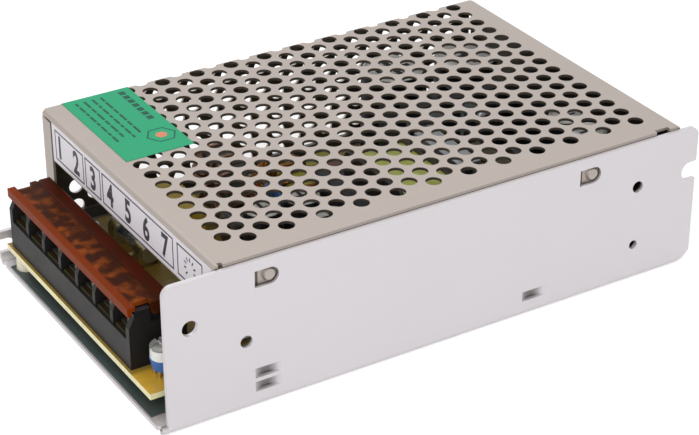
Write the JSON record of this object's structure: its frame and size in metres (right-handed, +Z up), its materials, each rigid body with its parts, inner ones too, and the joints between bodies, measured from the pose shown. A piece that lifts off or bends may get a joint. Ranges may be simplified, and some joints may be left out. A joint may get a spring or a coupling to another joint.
{
  "type": "enclosed switching power supply",
  "caption": "Enclosed switching power supply in a folded aluminium case with a perforated cover, a barrier terminal block under a hinged flap and a voltage trimmer.",
  "frame": {"origin": "middle of the footprint, on the surface the case stands on", "axes": "+X from the terminal end to the closed end, +Y from the solid side wall to the perforated side wall, +Z up"},
  "size_m": [0.159, 0.098, 0.0421],
  "materials": {
    "case_aluminium": "satin",
    "label_film": "matt white film",
    "green_film": "satin printed film",
    "slate_film": "matt sheet",
    "plated_steel": "bright zinc plating",
    "ivory_nylon": "satin",
    "board_laminate": "ochre laminate",
    "black_plastic": "satin moulding",
    "amber_plastic": "translucent amber",
    "plated_brass": "tinned",
    "blue_plastic": "gloss",
    "white_plastic": "satin",
    "green_lens": "clear tinted",
    "glass": "clear",
    "clip_brass": "plated",
    "dark_disc": "lacquered",
    "yellow_box": "satin",
    "blue_lacquer": "lacquered",
    "ferrite": "matt ferrite",
    "copper_wire": "enamelled copper",
    "lime_tape": "polyester tape",
    "bobbin_plastic": "satin",
    "black_sleeve": "shrink sleeve",
    "black_anodised": "black anodised",
    "grey_pad": "matt",
    "rust_box": "satin",
    "sink_aluminium": "mill finish",
    "olive_core": "coated powder iron",
    "cement": "matt",
    "pale_blue": "lacquered",
    "tinned_wire": "tinned"
  },
  "bodies": {
    "root": {"base_chassis": "case_aluminium", "mesh_cover": "case_aluminium", "cover_screws": "plated_steel", "label_strip": "label_film", "top_sticker": "green_film", "insulating_sheet": "slate_film", "board_posts": "plated_steel", "board_supports": "ivory_nylon", "board_screws": "plated_steel", "circuit_board": "board_laminate", "terminal_block": "black_plastic", "terminal_contacts": "plated_brass", "terminal_washers": "plated_steel", "terminal_screws": "plated_steel", "trimmer_body": "blue_plastic", "indicator_led": "green_lens", "fuse_glass": "glass", "fuse_caps": "plated_steel", "fuse_clips": "clip_brass", "inrush_thermistor": "dark_disc", "x_capacitor": "yellow_box", "y_capacitors": "blue_lacquer", "filter_choke_core": "ferrite", "filter_choke_winding": "copper_wire", "bridge_rectifier": "black_plastic", "bulk_capacitors": "black_sleeve", "transformer_core": "ferrite", "transformer_bobbin": "bobbin_plastic", "transformer_winding": "lime_tape", "switch_heatsink": "black_anodised", "switch_transistors": "black_plastic", "switch_pads": "grey_pad", "switch_screws": "plated_steel", "coupling_capacitor": "rust_box", "driver_core": "ferrite", "driver_winding": "copper_wire", "rectifier_heatsink": "sink_aluminium", "output_rectifier": "black_plastic", "rectifier_screw": "plated_steel", "output_choke_core": "olive_core", "output_choke_winding": "copper_wire", "output_capacitors": "black_sleeve", "aux_capacitors": "black_sleeve", "controller_chip": "black_plastic", "resistors": "pale_blue", "diodes": "black_plastic", "bleeder_resistor": "cement", "jumper_wires": "tinned_wire"},
    "flap": {"terminal_flap": "amber_plastic"},
    "knob": {"trimmer_knob": "white_plastic"}
  },
  "joints": [
    {"name": "flap_hinge", "type": "hinge", "parent": "root", "child": "flap", "pos_m": [-0.0674, 0.0073, 0.02197], "axis": [0, 1, 0], "range_deg": [0, 90]},
    {"name": "trimmer_turn", "type": "hinge", "parent": "root", "child": "knob", "pos_m": [-0.0715, -0.0334, 0.014], "axis": [0, 0, 1], "range_deg": [-135, 135]}
  ]
}
